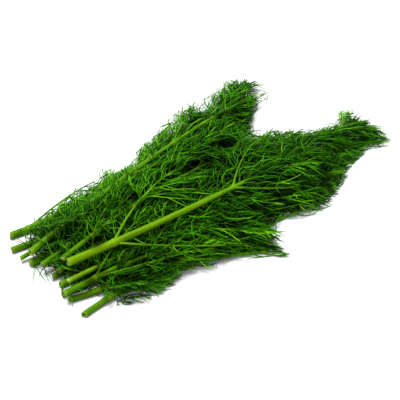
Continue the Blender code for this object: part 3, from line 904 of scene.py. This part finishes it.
def buildStem(rng, number, branches, above):
    # the stem and its side branches as one mesh with two maps: one runs with the fibres, and
    # in the other each tube has a strip of its own, so that it can be baked
    *tube, length = stemTube(rng, number)
    size = layout["stems"][number][3]
    tubes = [tube] + [branchTube(rng, size, at, branch) for at, _, branch in branches]
    fibreMap = stemShape["fibreMap"]
    strips = [tube[2] * (0.44, fibreMap / (length + 20.0)) + (0.01, 0.0)]
    wide = 0.5 / len(branches)
    for k, (_, _, uvs, _) in enumerate(tubes[1:]):
        u, v = uvs.T
        v = 0.02 + 0.95 * (v - v.min()) * fibreMap / branchShape["longest"]
        strips.append(np.stack([u * wide * 0.8 + 0.49 + wide * k, v], axis=1))
    verts, tris, uvs = joinTubes(tubes)
    merged = {key: np.concatenate([part[3][key] for part in tubes]) for key in tube[3]}
    merged["light"] = np.full(len(verts), stemShape["light"][number])
    # painted shade from the leaves above and the hollows; the square root, because a stem is lit
    # from the sides of a gap too
    least = stemShape["deepest"]
    light = lightIn(np.sqrt(daylight(verts, above)), verts)
    merged["shade"] = least + (1 - least) * light
    return verts, tris, {"OFBake": np.concatenate(strips), "fibre": uvs}, merged


def linear(hexColour):
    # sRGB hex to linear values
    s = np.array([int(hexColour[k : k + 2], 16) / 255 for k in (1, 3, 5)])
    return (*np.where(s <= 0.04045, s / 12.92, ((s + 0.055) / 1.055) ** 2.4), 1.0)


def setInputs(node, inputs):
    # inputs by name or number, each a value, a colour's hex, the socket that it comes from,
    # or a node, which stands for the first of its outputs in use
    for key, value in inputs.items():
        if isinstance(value, bpy.types.Node):
            value = next(output for output in value.outputs if output.enabled)
        if isinstance(value, bpy.types.NodeSocket):
            node.id_data.links.new(value, node.inputs[key])
        else:
            node.inputs[key].default_value = linear(value) if isinstance(value, str) else value


def addNode(tree, kind, settings=None, inputs=None, stops=()):
    # one shader node of a kind, with its own settings, its inputs, and a ramp's stops
    node = tree.nodes.new("ShaderNode" + kind)
    for name, value in (settings or {}).items():
        setattr(node, name, value)
    setInputs(node, inputs or {})
    for k, (at, colour) in enumerate(stops):
        ramp = node.color_ramp.elements
        stop = ramp[k] if k < len(ramp) else ramp.new(at)
        stop.position = at
        stop.color = linear(colour) if isinstance(colour, str) else (*colour, 1.0)
    return node


def newMaterial(name):
    material = bpy.data.materials.new(name)
    material.use_nodes = True
    return material, material.node_tree, material.node_tree.nodes["Principled BSDF"]


# settings of Mix nodes, whose input 0 is the share, and 6 and 7 are the two colours
colourMix = {"data_type": "RGBA"}
colourMultiply = {"data_type": "RGBA", "blend_type": "MULTIPLY"}

leafColours = {
    "stalk": "#5A8C08",  # a side branch's end
    "pinnule": "#4A8204",
    # of threads, from the painted shade of the deepest to those in full daylight
    "dark": "#020700",
    "middle": "#1F4E05",
    "tip": "#387E06",
    "light": "#74B410",
    "sheen": "#A8E070",
}


def leafMaterial():
    # fresh dill leaf: waxy skin over deep green tissue, which gives the eye a soft satin with
    # hardly any glint;
    # its colour is painted light green where it lies open and nearly black in painted shade where
    # leaves lie over it
    colours = leafColours
    material, tree, shader = newMaterial("freshDillLeaf")
    place = addNode(tree, "UVMap", {"uv_map": "OFBake"})
    parts = addNode(tree, "SeparateXYZ", {}, {"Vector": place})
    daylit, fineness = parts.outputs["X"], parts.outputs["Y"]
    # painted light and shade: the map's u, the tone times the painted daylight, picks the threads'
    # green from nearly black to light green
    tone = addNode(tree, "ValToRGB", {}, {"Fac": daylit}, (
        (0.04, colours["dark"]), (0.34, colours["middle"]),
        (0.75, colours["tip"]), (1.0, colours["light"])))
    fine = addNode(tree, "ValToRGB", {}, {"Fac": fineness}, (
        (0.0, (0, 0, 0)), (0.30, (0.35, 0.35, 0.35)), (0.62, (1, 1, 1))))
    stalk = addNode(tree, "ValToRGB", {}, {"Fac": fineness}, (
        (0.1, colours["stalk"]), (0.5, colours["pinnule"])))
    # painted shade: the stalks are painted darker too where they lie deep under leaves
    stalkPaintedShade = addNode(tree, "ValToRGB", {}, {"Fac": daylit}, (
        (0.0, (0.02, 0.03, 0.01)), (0.3, (0.35, 0.4, 0.3)), (0.55, (1, 1, 1))))
    inPaintedShade = addNode(tree, "Mix", colourMultiply, {
        0: 1.0, 6: stalk, 7: stalkPaintedShade})
    colour = addNode(tree, "Mix", colourMix, {
        0: fine, 6: inPaintedShade, 7: tone})
    setInputs(shader, {
        "Base Color": colour, "Roughness": 0.5, "Specular IOR Level": 0.06,
        "Specular Tint": colours["sheen"]})
    return material


stemColours = {
    # of a dark stem, then of a light one
    "darkDeep": "#184400",
    "dark": "#2E6000",
    "darkStreak": "#447C04",
    "lightDeep": "#366000",
    "light": "#527800",
    "lightStreak": "#6E8A0E",
    "pale": "#6E9014",
    "farGreen": "#356A02",
    "cutFace": "#8CA046",
    "spot": "#5E5A14",
    # painted shade: the colour of stems that lie under leaves
    "inPaintedShade": "#051200",
    "sheen": "#C8E860",
}


def stemMaterial():
    # fresh dill stem: smooth waxed skin over pale pith, which gives the eye a satin sheen
    # along the top, with paler fibres that run the stem's way
    colours = stemColours
    material, tree, shader = newMaterial("freshDillStem")
    place = addNode(tree, "UVMap", {"uv_map": "fibre"})
    solid = addNode(tree, "TexCoord").outputs["Object"]
    light, reach, pale, cut, shade = (
        addNode(tree, "Attribute", {"attribute_name": name}).outputs["Fac"]
        for name in ("light", "reach", "pale", "cut", "shade")
    )
    # the fibres: about 1.2 mm apart round the stem and 40 mm long
    stretched = addNode(tree, "Mapping", {}, {
        "Vector": place, "Scale": (12.0, 7.5, 1.0)})
    fibre = addNode(tree, "TexNoise", {}, {
        "Vector": stretched, "Scale": 1.0, "Detail": 3.0, "Roughness": 0.55})
    darkSkin, lightSkin = (
        addNode(tree, "ValToRGB", {}, {"Fac": fibre}, (
            (0.32, colours[kind + "Deep"]), (0.50, colours[kind]),
            (0.70, colours[kind + "Streak"])))
        for kind in ("dark", "light")
    )
    skin = addNode(tree, "Mix", colourMix, {
        0: light, 6: darkSkin, 7: lightSkin})
    # slow change of tone from stem to stem and along each, about 26 mm wide
    slow = addNode(tree, "TexNoise", {}, {"Vector": solid, "Scale": 38.0, "Detail": 2.0})
    slowRamp = addNode(tree, "ValToRGB", {}, {"Fac": slow}, (
        (0.3, (0.62, 0.72, 0.55)), (0.65, (1.12, 1.08, 1.0))))
    toned = addNode(tree, "Mix", colourMultiply, {
        0: 0.8, 6: skin, 7: slowRamp})
    # greener towards the leaves
    farther = addNode(tree, "MapRange", {}, {
        "Value": reach, "From Min": 0.30, "From Max": 0.9, "To Max": 0.75})
    # small brown flecks, under 1 mm wide, where the skin was rubbed
    fleckNoise = addNode(tree, "TexNoise", {}, {"Vector": solid, "Scale": 620.0, "Detail": 1.0})
    flecks = addNode(tree, "ValToRGB", {}, {"Fac": fleckNoise}, (
        (0.70, (0, 0, 0)), (0.76, (0.8, 0.8, 0.8))))
    # then paler at the nodes, paler still on the cut face
    last = toned
    for share, colour in (
        (farther, colours["farGreen"]),
        (flecks, colours["spot"]),
        (pale, colours["pale"]),
        (cut, colours["cutFace"]),
    ):
        last = addNode(tree, "Mix", colourMix, {0: share, 6: last, 7: colour})
    # and painted shade: darker under the leaves and in the hollows
    shaded = addNode(tree, "Mix", colourMix, {0: shade, 6: colours["inPaintedShade"], 7: last})
    bump = addNode(tree, "Bump", {}, {
        "Height": fibre, "Strength": 0.25, "Distance": 0.0004})
    setInputs(shader, {
        "Base Color": shaded, "Roughness": 0.46, "Specular IOR Level": 0.10,
        "Specular Tint": colours["sheen"], "Normal": bump})
    return material


leaf = leafMaterial()
stalk = stemMaterial()
grown = growBranches(np.random.default_rng(layout["seed"]))
print("side branches:", sum(len(branches) for branches in grown.values()))
leaves = {
    number: growLeaves(np.random.default_rng(foliage["seed"] + number), number, branches)
    for number, branches in grown.items()
}
above = leavesAbove([arcs for kinds in leaves.values() for arcs in kinds])
triangles = 0
for number, kinds in leaves.items():
    name = f"leafy_stem_{number:02d}"
    rng = np.random.default_rng(foliage["seed"] + 100 + number)
    verts, tris, uvs, attributes = buildStem(rng, number, grown[number], above)
    stemPiece = putMesh(name + "_stem", verts, tris, uvs, attributes, stalk)
    # the tubes of pinnules have five rings, those of threads four and of forks three
    tubes = joinTubes([threadTubes(arcs, rings, above) for arcs, rings in zip(kinds, (5, 4, 3))])
    leafPiece = putMesh(name + "_leaves", *tubes[:2], {"OFBake": tubes[2]}, {}, leaf)
    for piece in (stemPiece, leafPiece):
        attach(piece, "root")
        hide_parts(name)
    triangles += len(tris) + len(tubes[1])
    print(name, "stem", len(tris), "leaves", len(tubes[1]))
print("triangles in all:", triangles)


studio = {
    "floor": "#C4C4C4",
    "floorSize": 30,
    "skyStrength": 1,
    "keyFrom": (0.06, 0.34, 1.38),
    "keyWidth": 24,  # degrees of sky that it fills
    "keyStrength": 5.4,
    "azimuth": -38,
    "elevation": 42,
    "distance": 0.665,
    "target": (0.01, 0, 0.018),  # in the layout's frame
    "lens": 85,
}


def floorMaterial():
    # matt white paper, which gives the eye an even pale ground without a glint
    material, _, shader = newMaterial("mattWhitePaper")
    setInputs(shader, {
        "Base Color": studio["floor"], "Roughness": 0.9, "Specular IOR Level": 0.2})
    return material


bpy.ops.mesh.primitive_plane_add(size=studio["floorSize"])
floor = bpy.context.object
floor.name = "floor"
floor.data.materials.append(floorMaterial())

world = bpy.data.worlds.new("studio")
bpy.context.scene.world = world
world.use_nodes = True
setInputs(world.node_tree.nodes["Background"], {
    "Color": "#FFFFFF", "Strength": studio["skyStrength"]})


def aim(thing, target):
    # turn a light or the camera so that its -Z points at the target
    away = unit(np.array(thing.location) - target)
    thing.rotation_euler = (math.acos(away[2]), 0.0, math.atan2(away[0], -away[1]))


middle = np.array([*layout["middle"], 0.0]) * mm
key = addObject("key", bpy.data.lights.new("key", "SUN"))
key.data.angle = math.radians(studio["keyWidth"])
key.data.energy = studio["keyStrength"]
key.location = studio["keyFrom"]
aim(key, np.zeros(3))

target = np.array(studio["target"]) - middle
a, e = math.radians(studio["azimuth"]), math.radians(studio["elevation"])
back = np.array([math.sin(a) * math.cos(e), -math.cos(a) * math.cos(e), math.sin(e)])
camera = addObject("camera", bpy.data.cameras.new("camera"))
camera.data.lens = studio["lens"]
camera.data.clip_start = 0.01
camera.location = target + studio["distance"] * back
aim(camera, target)
bpy.context.scene.camera = camera
bpy.context.scene.view_settings.view_transform = "Standard"

print("floor, light and camera set")
